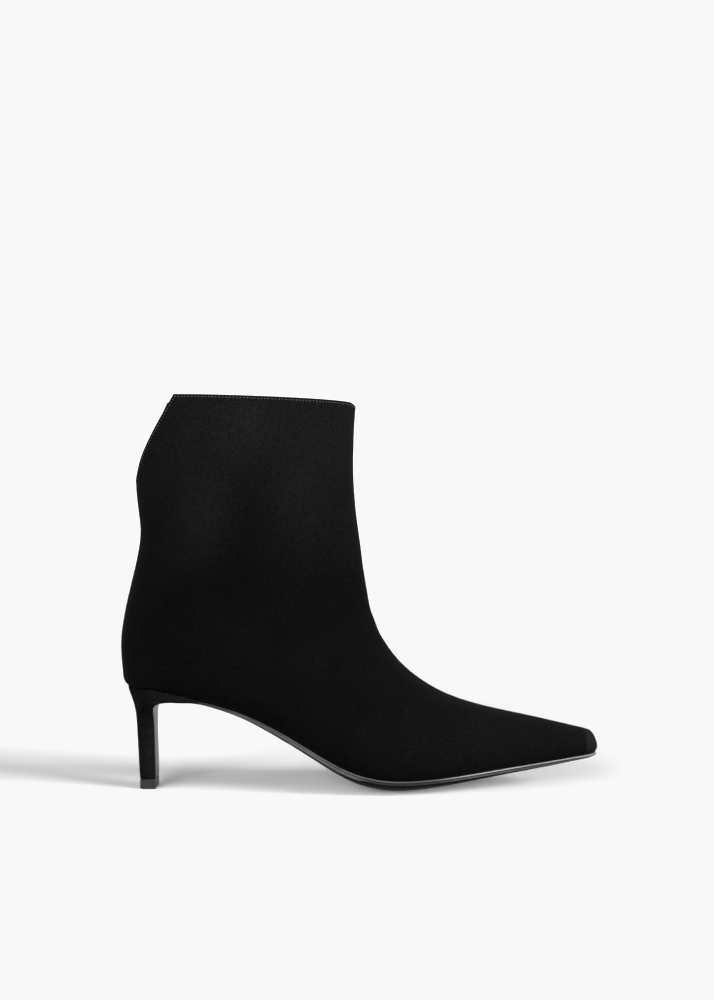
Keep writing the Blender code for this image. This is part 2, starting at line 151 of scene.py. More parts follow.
# Soft steps that turn grain into clouds, speckles, streaks, marks of a hand, scuffs and pores
CLOUDS = (0.3, 0.7)
SPECKLES = (0.40, 0.62)
STREAKS = (0.38, 0.64)
HAND_MARKS = (0.35, 0.68)
SCUFFS = (0.45, 0.75)
PORES = (0.0, 0.25)

# The brushed streaks of the nap: their stretch and turn, and the mottle in sizes of the nap
STREAK_STRETCH = (0.25, 0.6, 1.0)
STREAK_TURN = (0.0, math.radians(35), 0.0)
MOTTLE = 4.2

# A stitch is a flattened bead of few faces
STITCH_SIDES = 8
STITCH_RINGS = 6
STITCH_FLATNESS = 2.6

# The floor, the backdrop round it, and where the light from below goes over into that from above
FLOOR_RADIUS = 6.0
FLOOR_SIDES = 96
BACKDROP_RADIUS = 6.5
BACKDROP_SIDES = 48
BACKDROP_GLOW = 1.5
HORIZON = 0.1

# The camera: sensor and lens as Blender counts them, and its place across and up
SENSOR_HEIGHT = 36.0
LENS = 52.84
LENS_SHIFT = 0.04
CAMERA_X = -1.35 * MM
CAMERA_HEIGHT = 134.5 * MM

# The curve of the picture's tones that holds for all three colours
ALL_COLOURS = 3

# Suns: turn from the toe towards the viewer, height and softness in degrees, and what is lit
LAMP_TARGET = Vector((-20 * MM, 0.0, 100 * MM))
Sun = namedtuple("Sun", "name turn height softness strength on")
SUNS = (
    Sun("low_right", 26, 12.5, 33, 18.7, "floor"),
    Sun("low_front", 108, 11, 30, 11.3, "floor"),
    Sun("low_left", 143, 19, 56, 4.7, "floor"),
    Sun("front", 95, 35, 120, 1.0, "boot"),
    Sun("behind", 270, 35, 120, 0.8, "boot"),
)

# Soft boxes: place and size in metres, and what is lit
SoftBox = namedtuple("SoftBox", "name place power width height on")
SOFT_BOXES = (
    SoftBox("over_the_toe", (0.20, -0.55, 0.55), 1.6, 0.40, 0.30, "boot"),
    SoftBox("strip", (0.90, -0.15, 0.16), 1.25, 0.15, 0.50, "boot"),
    SoftBox("beside_the_sole", (0.70, -0.64, 0.175), 2.8, 0.42, 0.17, "sole"),
)

# Soft troughs and ridges of the suede: place and size in the boot's side view, height outwards
Fold = namedtuple("Fold", "name x z turn length width height")
FOLDS = (
    Fold("ridge behind the ankle", -85 * MM, 148 * MM, 80, 30 * MM, 10 * MM, 0.95 * MM),
    Fold("trough over the ankle", -60 * MM, 143 * MM, 84, 40 * MM, 12 * MM, -1.00 * MM),
    Fold("ridge before the ankle", -31 * MM, 155 * MM, 100, 32 * MM, 11 * MM, 0.80 * MM),
    Fold("swell under the collar", -59 * MM, 193 * MM, 60, 16 * MM, 11 * MM, 0.55 * MM),
    Fold("trough under the notch", -112 * MM, 168 * MM, 65, 16 * MM, 7 * MM, -0.50 * MM),
    Fold("hollow below the ankle", -70 * MM, 107 * MM, 20, 26 * MM, 11 * MM, -0.90 * MM),
    Fold("swell over the heel", -82 * MM, 87 * MM, 15, 22 * MM, 10 * MM, 0.45 * MM),
    Fold("bend at the instep", -3 * MM, 92 * MM, 35, 20 * MM, 5 * MM, -0.40 * MM),
    Fold("second bend at the instep", 6 * MM, 80 * MM, 38, 18 * MM, 5 * MM, -0.30 * MM),
    Fold("flex at the ball", 26 * MM, 34 * MM, 62, 16 * MM, 6 * MM, -0.35 * MM),
    Fold("flex behind the ball", 12 * MM, 40 * MM, 58, 17 * MM, 6 * MM, -0.30 * MM),
    Fold("tuck at the foot of the notch", -122 * MM, 170 * MM, 90, 7 * MM, 8 * MM, -0.60 * MM),
)

# Soft ovals in the side view with painted light on the ridges and on the swell under the collar,
# and painted shade in the trough and in the hollow
Patch = namedtuple("Patch", "name x z turn length width raised")
LIT_AND_SHADED_PATCHES = (
    Patch("on the ridge behind the ankle", -85 * MM, 148 * MM, 80, 42 * MM, 20 * MM, 0.14),
    Patch("on the ridge before the ankle", -31 * MM, 155 * MM, 100, 44 * MM, 18 * MM, 0.08),
    Patch("under the collar", -58 * MM, 193 * MM, 40, 30 * MM, 24 * MM, 0.16),
    Patch("in the trough over the ankle", -58 * MM, 146 * MM, 84, 40 * MM, 22 * MM, -0.12),
    Patch("in the hollow below the ankle", -70 * MM, 108 * MM, 15, 44 * MM, 26 * MM, -0.10),
)

# How far the nap stands up everywhere, and where painted light makes the suede lighter along x (0)
# or z (2): up the shaft and along the forepart, where more light falls, and as a painted highlight
# at the end of the toe
PaintedLightRise = namedtuple("PaintedLightRise", "name axis start end raised")
UPPER_NAP = 0.06
UPPER_PAINTED_LIGHT = (
    PaintedLightRise("up the shaft", 2, 90 * MM, 195 * MM, 0.27),
    PaintedLightRise("along the forepart", 0, -60 * MM, 110 * MM, 0.07),
    PaintedLightRise("at the end of the toe", 0, 121.0 * MM, 124.8 * MM, 0.48),
)
HEEL_NAP = 0.19
# Painted light on the heel's cover: lighter lower down the stem and lighter towards the stem's
# front
HEEL_PAINTED_LIGHT = (
    PaintedLightRise("down the stem", 2, 56 * MM, 34 * MM, 0.10),
    PaintedLightRise("at the front of the stem", 0, -117 * MM, -111 * MM, 0.20),
)


class SuedeLook(bpy.types.PropertyGroup):
    """The nap of the suede on the upper and the heel."""

    # The laid and raised nap colours also carry the painted light and shade of the suede: the mix
    # goes towards the raised colour where light is painted and towards the laid colour where shade
    # is painted
    dark: FloatVectorProperty(
        name="Laid nap", description="Colour where the nap lies flat",
        subtype="COLOR", default=(0.0044, 0.0038, 0.0047))
    light: FloatVectorProperty(
        name="Raised nap", description="Colour where the nap stands up",
        subtype="COLOR", default=(0.0360, 0.0335, 0.0350))
    nap: FloatProperty(
        name="Nap", description="Size of the speckles of the nap",
        subtype="DISTANCE", default=0.55 * MM)
    patch: FloatProperty(
        name="Brushed patch", description="Size of the patches that a hand leaves",
        subtype="DISTANCE", default=38 * MM)
    depth: FloatProperty(
        name="Nap depth", description="Height of the nap's relief",
        subtype="DISTANCE", default=0.12 * MM)
    sheen: FloatProperty(
        name="Sheen", description="Soft light on the fibres at the edges",
        subtype="FACTOR", default=0.03)


class UpperSizes(bpy.types.PropertyGroup):
    """The suede wall of the upper and its lining."""

    suede: FloatProperty(
        name="Suede", description="Thickness of the suede",
        subtype="DISTANCE", default=0.9 * MM)
    lining: FloatProperty(
        name="Lining", description="Thickness of the lining",
        subtype="DISTANCE", default=0.6 * MM)
    lining_drop: FloatProperty(
        name="Lining drop", description="How far the lining stops below the collar",
        subtype="DISTANCE", default=0.9 * MM)
    roll: FloatProperty(
        name="Roll", description="How far the lower edge turns in over the sole",
        subtype="DISTANCE", default=1.5 * MM)
    roll_reach: FloatProperty(
        name="Roll reach", description="Height of the part that turns in",
        subtype="DISTANCE", default=3.6 * MM)
    tuck: FloatProperty(
        name="Tuck", description="How far the lower edge comes down onto the sole",
        subtype="DISTANCE", default=0.33 * MM)
    dip: FloatProperty(
        name="Dip", description="How far the collar dips at the front ridge",
        subtype="DISTANCE", default=1.3 * MM)
    dip_width: FloatProperty(
        name="Dip width", description="Width of the collar's dip",
        subtype="DISTANCE", default=1.6 * MM)
    fine: IntProperty(
        name="Fineness", description="How often the wall's faces are halved",
        default=2, min=1, max=3)


class StitchSizes(bpy.types.PropertyGroup):
    """The row of stitches along the collar."""

    pitch: FloatProperty(
        name="Pitch", description="From one stitch to the next",
        subtype="DISTANCE", default=1.85 * MM)
    inset: FloatProperty(
        name="Inset", description="From the collar's edge to the row",
        subtype="DISTANCE", default=1.35 * MM)
    length: FloatProperty(
        name="Length", description="Length of one stitch",
        subtype="DISTANCE", default=1.05 * MM)
    thick: FloatProperty(
        name="Thickness", description="Thickness of the thread",
        subtype="DISTANCE", default=0.44 * MM)
    colour: FloatVectorProperty(
        name="Thread", description="Colour of the thread",
        subtype="COLOR", default=(0.16, 0.17, 0.165))


class LeatherLook(bpy.types.PropertyGroup):
    """The smooth leathers and the heel tip."""

    # The sole edge's colour is the painted highlight on its rim and rib and the painted reflection
    # on its band; elsewhere the edge takes the tread's colour
    edge: FloatVectorProperty(
        name="Sole edge", description="Colour of the dyed sole edge",
        subtype="COLOR", default=(0.50, 0.50, 0.51))
    tread: FloatVectorProperty(
        name="Tread", description="Colour under the sole",
        subtype="COLOR", default=(0.007, 0.007, 0.0075))
    breast: FloatVectorProperty(
        name="Heel breast", description="Colour of the strip on the heel",
        subtype="COLOR", default=(0.09, 0.09, 0.092))
    tip: FloatVectorProperty(
        name="Heel tip", description="Colour of the moulded tip",
        subtype="COLOR", default=(0.020, 0.020, 0.021))
    lining: FloatVectorProperty(
        name="Lining", description="Colour of the lining and the sock",
        subtype="COLOR", default=(0.020, 0.019, 0.018))


class StageLook(bpy.types.PropertyGroup):
    """The floor, the light and the camera."""

    floor: FloatVectorProperty(
        name="Floor", description="Colour of the floor",
        subtype="COLOR", default=(0.40, 0.40, 0.40))
    white: FloatProperty(
        name="White", description="The brightest tone of the picture", default=0.939)
    key: FloatProperty(
        name="Floor light", description="Strength of the low lights that give the shadow",
        default=1.0)
    boot: FloatProperty(
        name="Boot light", description="Strength of the soft lights on the boot", default=1.0)
    fill: FloatProperty(
        name="Fill", description="Strength of the light from above all round", default=0.26)
    low_fill: FloatProperty(
        name="Low fill", description="Strength of the light from below all round", default=0.10)
    distance: FloatProperty(
        name="Camera distance", description="From the camera to the boot",
        subtype="DISTANCE", default=0.80)


class Level:
    """A value in a finish. Sums and products of levels add Math nodes."""

    def __init__(self, finish, socket):
        self.finish = finish
        self.socket = socket

    def maths(self, operation, *values):
        return self.finish.node(
            "ShaderNodeMath", {"operation": operation}, dict(enumerate(values)))

    def __add__(self, other):
        return self.maths("ADD", self, other)

    def __sub__(self, other):
        return self.maths("SUBTRACT", self, other)

    def __rsub__(self, other):
        return self.maths("SUBTRACT", other, self)

    def __mul__(self, other):
        return self.maths("MULTIPLY", self, other)

    __radd__ = __add__
    __rmul__ = __mul__

    def rise(self, low, high):
        """0 below low and 1 above high, with a soft step between."""
        return self.finish.node(
            "ShaderNodeMapRange", {"interpolation_type": "SMOOTHSTEP"},
            {"Value": self, "From Min": low, "From Max": high})


class Finish:
    """A material whose nodes are added one by one."""

    def __init__(self, name, **constants):
        self.material = bpy.data.materials.new(name)
        self.material.use_nodes = True
        self.nodes = self.material.node_tree.nodes
        self.links = self.material.node_tree.links
        self.shader = self.nodes["Principled BSDF"]
        for socket, value in constants.items():
            self.shader.inputs[socket.replace("_", " ")].default_value = value
        self.place = self.node("ShaderNodeTexCoord", output="Object")

    def node(self, kind, settings=None, sockets=None, output=0):
        """Adds a node, sets it, joins its sockets and gives one of its outputs."""
        node = self.nodes.new(kind)
        for name, value in (settings or {}).items():
            setattr(node, name, value)
        for key, value in (sockets or {}).items():
            if isinstance(value, Level):
                self.links.new(value.socket, node.inputs[key])
            else:
                node.inputs[key].default_value = value
        return Level(self, node.outputs[output])

    def grain(self, size, detail=2.0, roughness=0.5, place=None):
        """Cloudy noise whose blobs are about that size."""
        return self.node("ShaderNodeTexNoise", None, {
            "Vector": place or self.place, "Scale": 1 / size,
            "Detail": detail, "Roughness": roughness})

    def stretched(self, scale, turn=(0.0, 0.0, 0.0)):
        """The piece's place, turned and stretched for a pattern with a direction."""
        return self.node("ShaderNodeMapping", None, {
            "Vector": self.place, "Rotation": turn, "Scale": scale})

    def along(self, axis):
        """The place along one axis, in metres."""
        return self.node("ShaderNodeSeparateXYZ", None, {0: self.place}, output=axis)

    def spot(self, patch):
        """1 in the middle of a soft oval in the side view, and 0 outside it."""
        place = self.node("ShaderNodeMapping", {"vector_type": "TEXTURE"}, {
            "Vector": self.place, "Location": (patch.x, 0.0, patch.z),
            "Rotation": (0.0, math.radians(-patch.turn), 0.0),
            "Scale": (patch.length, 1.0, patch.width)})
        distance = self.node(
            "ShaderNodeVectorMath", {"operation": "LENGTH"}, {0: place}, output=1)
        return distance.rise(1.0, 0.0)

    def blend(self, share, first, second):
        """One colour over into another."""
        return self.node(
            "ShaderNodeMix", {"data_type": "RGBA"},
            {0: share, 6: (*first, 1.0), 7: (*second, 1.0)}, output=2)

    def shades(self, share, colour, dark, light):
        """A darker shade of a colour over into a lighter one."""
        return self.blend(share, [c * dark for c in colour], [c * light for c in colour])

    def relief(self, height, depth, strength=1.0):
        """Small relief on the surface."""
        return self.node("ShaderNodeBump", None, {
            "Strength": strength, "Distance": depth, "Height": height})

    def feed(self, **levels):
        """Joins levels to the shader's sockets."""
        for socket, level in levels.items():
            self.links.new(level.socket, self.shader.inputs[socket.replace("_", " ")])
        return self.material


def nap_with_painted_light(finish, level, rises, patches):
    """How far the nap stands up, with painted light and shade: a level that rises along the boot
    and in soft patches.
    """
    for rise in rises:
        level = level + finish.along(rise.axis).rise(rise.start, rise.end) * rise.raised
    for patch in patches:
        level = level + finish.spot(patch) * patch.raised
    return level


def suede_finish(name, look, level, rises, patches=()):
    """Black suede: a fine mottled nap, with painted light and shade along the boot and in soft
    patches.
    """
    finish = Finish(name, Sheen_Weight=look.sheen, Sheen_Roughness=0.35,
                    Sheen_Tint=(0.9, 0.9, 0.95, 1.0), Specular_IOR_Level=0.04)
    speckle = finish.grain(look.nap, 2.0, 0.7)
    mottle = finish.grain(MOTTLE * look.nap, 3.0, 0.6)
    cloud = finish.grain(look.patch, 2.0, 0.45)
    streaks = finish.grain(
        look.nap, 2.0, 0.6, finish.stretched(STREAK_STRETCH, STREAK_TURN))
    # The level carries painted light and shade along the boot and in the patches, and soft random
    # marks
    raised = nap_with_painted_light(finish, level, rises, patches) + cloud.rise(*HAND_MARKS) * 0.06
    specks = speckle.rise(*SPECKLES)
    flecks = 0.47 + specks * 0.6 + mottle.rise(*CLOUDS) * 0.2 + streaks.rise(*STREAKS) * 0.3
    share = raised * flecks + specks * 0.15 - 0.085
    nap = speckle * 0.6 + streaks * 0.4
    return finish.feed(
        Base_Color=finish.blend(share, look.dark, look.light),
        Roughness=0.99 - share * 0.12, Normal=finish.relief(nap, look.depth))


def lining_finish(look):
    """Smooth black lining leather with fine pores."""
    finish = Finish("lining_leather", Specular_IOR_Level=0.35)
    pores = finish.node("ShaderNodeTexVoronoi", {"feature": "DISTANCE_TO_EDGE"}, {
        "Vector": finish.place, "Scale": 1 / (1.1 * MM)})
    cloud = finish.grain(14 * MM, 3.0)
    grain = pores.rise(*PORES)
    return finish.feed(
        Base_Color=finish.shades(cloud.rise(*CLOUDS), look.lining, 1.0, 1.7),
        Roughness=0.62 - grain * 0.12, Normal=finish.relief(grain, 0.05 * MM, 0.6))


def sole_edge_finish(look):
    """Burnished edge of the sole: a band at the arch with a painted reflection, a rim at the ball
    and the forefoot and a rib at the forefoot with painted highlights.
    """
    finish = Finish("sole_edge", Specular_IOR_Level=0.5)
    depth = finish.node("ShaderNodeAttribute", {"attribute_name": "rim_depth"}, output="Fac")
    x = finish.along(0)
    arch, ball, forefoot = (x.rise(*zone) for zone in (ARCH, BALL, FOREFOOT))
    band = depth.rise(*BAND_TOP) * (
        0.2 + depth.rise(*BAND_MIDDLE) * 0.35 + depth.rise(*BAND_FOOT) * 0.45)
    rim = depth.rise(*RIM_TOP) * depth.rise(*RIM_FOOT)
    rib = depth.rise(*RIB_TOP) * depth.rise(*RIB_FOOT)
    # Painted reflection on the arch's band, lighter lower down the band, and painted highlights on
    # the rim at the ball and on the rim and rib at the forefoot
    painted_highlight = (
        arch * (1 - ball) * band * 0.34 + ball * (1 - forefoot) * rim * 0.26
        + forefoot * (rim + rib * 0.19))
    marks = finish.grain(2.2 * MM, 3.0, 0.6, finish.stretched((0.12, 0.12, 1.0)))
    cloud = finish.grain(17 * MM)
    share = painted_highlight * (0.75 + marks.rise(*CLOUDS) * 0.3 + cloud.rise(*CLOUDS) * 0.2)
    height = forefoot * (rim + rib) + marks * 0.1
    return finish.feed(
        Base_Color=finish.blend(share, look.tread, look.edge),
        Roughness=0.52 - painted_highlight * 0.24 + marks * 0.1,
        Normal=finish.relief(height, 0.25 * MM, 0.6))


def tread_finish(look):
    """Matt black sole leather under the foot."""
    finish = Finish("sole_tread", Specular_IOR_Level=0.02)
    grain = finish.grain(0.8 * MM, 4.0, 0.65)
    scuffs = finish.grain(9 * MM, 4.0, 0.6, finish.stretched((0.35, 1.0, 1.0)))
    return finish.feed(
        Base_Color=finish.shades(scuffs.rise(*SCUFFS), look.tread, 1.0, 1.8),
        Roughness=0.5 + grain * 0.2, Normal=finish.relief(grain, 0.04 * MM, 0.6))


def breast_finish(look):
    """Smooth satin cover on the front of the heel."""
    finish = Finish("heel_breast_cover", Specular_IOR_Level=0.5)
    grain = finish.grain(0.7 * MM, 3.0, 0.6)
    cloud = finish.grain(12 * MM)
    return finish.feed(
        Base_Color=finish.shades(cloud.rise(*CLOUDS), look.breast, 0.85, 1.1),
        Roughness=0.34 + grain * 0.12, Normal=finish.relief(grain, 0.02 * MM, 0.5))


def tip_finish(look):
    """Moulded plastic with a fine spark texture."""
    finish = Finish("heel_tip_plastic", Specular_IOR_Level=0.5)
    spark = finish.grain(0.35 * MM, 2.0, 0.6)
    cloud = finish.grain(6 * MM)
    return finish.feed(
        Base_Color=finish.shades(cloud.rise(*CLOUDS), look.tip, 1.0, 1.3),
        Roughness=0.42 + spark * 0.15, Normal=finish.relief(spark, 0.02 * MM, 0.6))


def thread_finish(sizes):
    """Waxed sewing thread with its twist."""
    finish = Finish("collar_thread", Sheen_Weight=0.15)
    twist = finish.grain(0.25 * MM, 2.0)
    return finish.feed(
        Base_Color=finish.shades(twist.rise(*CLOUDS), sizes.colour, 0.75, 1.2),
        Roughness=0.55 + twist * 0.2, Normal=finish.relief(twist, 0.03 * MM, 0.7))


def floor_finish(look):
    """Plain pale floor."""
    finish = Finish("studio_floor", Roughness=1.0, Specular_IOR_Level=0.0)
    return finish.feed(Base_Color=finish.shades(finish.grain(0.6), look.floor, 0.998, 1.002))


def backdrop_finish():
    """Even backdrop light."""
    return Finish(
        "studio_backdrop", Roughness=1.0, Specular_IOR_Level=0.0, Base_Color=(0.0, 0.0, 0.0, 1.0),
        Emission_Color=(1.0, 1.0, 1.0, 1.0), Emission_Strength=BACKDROP_GLOW).material


def fade(distance, reach):
    """1 at no distance, down to 0 at this reach."""
    return max(0.0, 1 - distance / reach)


def climb(distance, run):
    """0 at no distance, up to 1 at the end of this run."""
    return min(1.0, max(0.0, distance / run))


def bell(distance, reach):
    """1 at no distance, and softly less on both sides."""
    return math.exp(-(distance / reach) ** 2)


def frame_copy(node):
    """A merged copy of a frame node's mesh."""
    form = bmesh.new()
    form.from_mesh(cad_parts[node].data)
    bmesh.ops.remove_doubles(form, verts=form.verts, dist=MERGE)
    return form


def join_quads(form, bend):
    """Joins triangles that bend no more than this into quads, apart from a fan round one point."""
    faces = [
        face for face in form.faces
        if max(len(vertex.link_faces) for vertex in face.verts) < FAN]
    bmesh.ops.join_triangles(
        form, faces=faces, angle_face_threshold=bend, angle_shape_threshold=math.pi,
        topology_influence=1.0)


def hold_edges(form, held):
    """Keeps edges that turn more than this fairly sharp when the form is smoothed."""
    crease = form.edges.layers.float.new("crease_edge")
    for edge in form.edges:
        if edge.calc_face_angle(0.0) > held.turn:
            edge[crease] = held.share


def quad_copy(node, held):
    """A copy of a frame node in quads, with its edges held."""
    form = frame_copy(node)
    join_quads(form, QUAD_BEND)
    hold_edges(form, held)
    return form


def cut_across(form, x, **options):
    """Cuts a form across at this x."""
    bmesh.ops.bisect_plane(
        form, geom=[*form.verts, *form.edges, *form.faces],
        plane_co=(x, 0.0, 0.0), plane_no=(1.0, 0.0, 0.0), **options)


def shift(form, move):
    """Moves all vertices at once, each by what the function gives for it."""
    for vertex, step in [(vertex, move(vertex)) for vertex in form.verts]:
        vertex.co += step


def largest_patch(faces, joins):
    """The largest patch of these faces whose edges all join it."""
    left = set(faces)
    patches = []
    while left:
        patch = [left.pop()]
        for face in patch:
            for edge in face.edges:
                if joins(edge):
                    joined = left.intersection(edge.link_faces)
                    left -= joined
                    patch.extend(joined)
        patches.append(patch)
    return set(max(patches, key=lambda patch: sum(face.calc_area() for face in patch)))


def keep_outer_wall(form):
    """Keeps the largest patch that no sharp edge crosses: the outside of a wall."""
    outer = largest_patch(form.faces, lambda edge: edge.calc_face_angle(math.pi) < WALL_FOLD)
    inner = [face for face in form.faces if face not in outer]
    bmesh.ops.delete(form, geom=inner, context="FACES")
    join_quads(form, math.pi)


def rim_loops(form):
    """The open edges of a surface as closed loops from their front, the lowest one first."""
    left = {vertex for vertex in form.verts if vertex.is_boundary}
    loops = []
    while left:
        loop = []
        onward = left
        while onward:
            loop.append(max(onward, key=lambda vertex: tuple(vertex.co)))
            left.remove(loop[-1])
            onward = [
                vertex for edge in loop[-1].link_edges if edge.is_boundary
                for vertex in edge.verts if vertex in left]
        loops.append(loop)
    return sorted(loops, key=lambda loop: min(vertex.co.z for vertex in loop))


def hold_corners(form):
    """Keeps the corners of open edges sharp when the form is smoothed."""
    crease = form.verts.layers.float.new("crease_vert")
    for loop in rim_loops(form):
        for before, vertex, after in zip(loop[-1:] + loop[:-1], loop, loop[1:] + loop[:1]):
            if (vertex.co - before.co).angle(after.co - vertex.co) > CORNER_TURN:
                vertex[crease] = 1.0


def nearness(places):
    """A search tree of places."""
    tree = KDTree(len(places))
    for index, place in enumerate(places):
        tree.insert(place, index)
    tree.balance()
    return tree


def add_object(name, form, finishes):
    """A form as an object of the scene."""
    mesh = bpy.data.meshes.new(name)
    form.to_mesh(mesh)
    form.free()
    for finish in finishes:
        mesh.materials.append(finish)
    item = bpy.data.objects.new(name, mesh)
    bpy.context.scene.collection.objects.link(item)
    return item


def halved(form, times=HALVINGS):
    """The form's faces halved both ways that many times, with a smooth surface through them."""
    carrier = add_object("coarse_form", form, [])
    mesh = carrier.data
    smoothing = carrier.modifiers.new("smooth", "SUBSURF")
    smoothing.levels = smoothing.render_levels = times
    fine = bmesh.new()
    fine.from_object(carrier, bpy.context.evaluated_depsgraph_get())
    bpy.data.objects.remove(carrier)
    bpy.data.meshes.remove(mesh)
    return fine


def fold_height(place):
    """How far the folds lift the suede at a place in the side view."""
    height = 0.0
    for fold in FOLDS:
        turn = math.radians(fold.turn)
        over_x, over_z = place.x - fold.x, place.z - fold.z
        along = (over_x * math.cos(turn) + over_z * math.sin(turn)) / fold.length
        across = (over_z * math.cos(turn) - over_x * math.sin(turn)) / fold.width
        height += fold.height * math.exp(-along * along - across * across)
    return height


def outer_wall(sizes):
    """The outside of the upper as a fine open surface, with its lower edge turned in and folds."""
    wall = frame_copy("upper")
    keep_outer_wall(wall)
    hold_corners(wall)
    wall = halved(wall, sizes.fine)
    wall.normal_update()
    loops = rim_loops(wall)
    feather, collar = (nearness([vertex.co for vertex in loop]) for loop in (loops[0], loops[-1]))
    ridge = max(vertex.co.x for vertex in loops[-1])

    def move(vertex):
        share = fade(feather.find(vertex.co)[2], sizes.roll_reach) ** 2
        uneven = UNEVEN_HEIGHT * noise.noise(vertex.co / UNEVEN_SIZE)
        lift = vertex.normal * (fold_height(vertex.co) + uneven)
        inward = vertex.normal.copy()
        if vertex.co.x > TOE_END:
            low, high = TOE_EDGE_TURN
            inward.z = max(low, min(high, inward.z))
        near_edge = fade(collar.find(vertex.co)[2], DIP_REACH)
        dip = sizes.dip * near_edge * bell(ridge - vertex.co.x, sizes.dip_width)
        return lift - inward * sizes.roll * share - Vector((0.0, 0.0, sizes.tuck * share + dip))

    shift(wall, move)
    wall.normal_update()
    return wall


def raise_seat(form):
    """Lets the seam over the heel climb towards the back, with all that lies there."""
    for vertex in form.verts:
        share = max(0.0, (SEAT_START - vertex.co.x) / SEAT_RUN)
        height = vertex.co.z
        vertex.co.x -= SEAT_BACK * share * bell(height - SEAT_BACK_HEIGHT, SEAT_BACK_REACH)
        vertex.co.z += SEAT_RISE * share * bell(height - SEAT_RISE_HEIGHT, SEAT_RISE_REACH)


def widen_stem(form):
    """Brings the front of the heel's stem forward."""
    for vertex in form.verts:
        front = climb(vertex.co.x - STEM_BACK, STEM_RUN)
        low = climb(STEM_TOP - vertex.co.z, STEM_FADE)
        vertex.co.x += STEM_FRONT * front * low
    return form


def add_piece(name, form, finishes, replaced=()):
    """A finished form as a piece of the boot."""
    raise_seat(form)
    for face in form.faces:
        face.smooth = True
    piece = add_object(name, form, finishes)
    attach(piece, "root")
    if replaced:
        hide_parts(*replaced)
    return piece


def add_wall(piece, thickness):
    """Gives an open surface its thickness inwards, with rounded edges."""
    wall = piece.modifiers.new("wall", "SOLIDIFY")
    wall.thickness = thickness
    wall.offset = -1.0
    edge = piece.modifiers.new("rounded edge", "BEVEL")
    edge.width = ROUNDED_SHARE * thickness
    edge.segments = ROUNDED_STEPS
    edge.limit_method = "ANGLE"
    edge.angle_limit = WALL_FOLD


def make_upper(sizes, look):
    """The suede wall."""
    suede = suede_finish("black_suede", look, UPPER_NAP, UPPER_PAINTED_LIGHT, LIT_AND_SHADED_PATCHES)
    piece = add_piece("upper_suede", outer_wall(sizes), [suede], ["upper"])
    add_wall(piece, sizes.suede)


def make_lining(sizes, look):
    """The lining inside the suede, a little below the collar and short of the stiff toe."""
    wall = outer_wall(sizes)
    collar = nearness([vertex.co for vertex in rim_loops(wall)[-1]])
    reach = LINING_FADE * sizes.lining_drop

    def move(vertex):
        drop = sizes.lining_drop * fade(collar.find(vertex.co)[2], reach)
        return Vector((0.0, 0.0, -drop)) - vertex.normal * (sizes.suede + LINING_GAP)

    shift(wall, move)
    cut_across(wall, LINING_END, clear_outer=True)
    piece = add_piece("lining", wall, [lining_finish(look)])
    add_wall(piece, sizes.lining)


def make_stitches(upper, sizes):
    """A row of stitches along the collar."""
    wall = outer_wall(upper)
    surface = BVHTree.FromBMesh(wall)
    loop = rim_loops(wall)[-1]
    loop.append(loop[0])
    lengths = [0.0]
    for before, after in zip(loop, loop[1:]):
        lengths.append(lengths[-1] + (after.co - before.co).length)
    count = round(lengths[-1] / sizes.pitch)
    shape = Matrix.Diagonal(
        (sizes.length / 2, sizes.thick / 2, sizes.thick / STITCH_FLATNESS, 1.0))
    row = bmesh.new()
    step = 0
    for stitch in range(count):
        reach = lengths[-1] * stitch / count
        while lengths[step + 1] <= reach:
            step += 1
        before, after = loop[step], loop[step + 1]
        share = (reach - lengths[step]) / (lengths[step + 1] - lengths[step])
        edge = before.co.lerp(after.co, share)
        outward = before.normal.lerp(after.normal, share).normalized()
        onward = (after.co - before.co).normalized()
        down = outward.cross(onward).normalized()
        if down.z > 0:
            down.negate()
        spot, outward, _, _ = surface.find_nearest(edge + down * sizes.inset)
        onward = (onward - outward * onward.dot(outward)).normalized()
        axes = Matrix((onward, outward.cross(onward), outward)).transposed().to_4x4()
        bmesh.ops.create_uvsphere(
            row, u_segments=STITCH_SIDES, v_segments=STITCH_RINGS, radius=1.0,
            matrix=Matrix.Translation(spot) @ axes @ shape)
    wall.free()
    add_piece("collar_stitches", row, [thread_finish(sizes)])


def make_insole(look):
    """The sock on the sole and the heel seat."""
    sock = halved(quad_copy("insole", INSOLE_EDGES))
    add_piece("insole_sock", sock, [lining_finish(look)], ["insole"])


def mark_depths(sole):
    """Notes how far each vertex lies below the rim of the sole, as less than nothing inside it."""
    top = [face for face in sole.faces if face.normal.z > RIM_TURN]
    upper = largest_patch(top, lambda edge: True)
    rim = []
    for edge in sole.edges:
        if len(upper.intersection(edge.link_faces)) == 1:
            first, second = (vertex.co for vertex in edge.verts)
            rim.extend(first.lerp(second, step / RIM_STEPS) for step in range(RIM_STEPS))
    rim = nearness(rim)
    inside = {vertex for face in upper for vertex in face.verts}
    depth = sole.verts.layers.float.new("rim_depth")
    for vertex in sole.verts:
        distance = rim.find(vertex.co)[2]
        vertex[depth] = -distance if vertex in inside else distance


def mark_tread(sole):
    """Gives the faces below the sole's edge the second finish."""
    depth = sole.verts.layers.float["rim_depth"]
    for face in sole.faces:
        below = min(vertex[depth] for vertex in face.verts) > EDGE_HEIGHT
        low = below and face.calc_center_median().x > EDGE_START
        face.material_index = 1 if low or face.normal.z < TREAD_TURN else 0


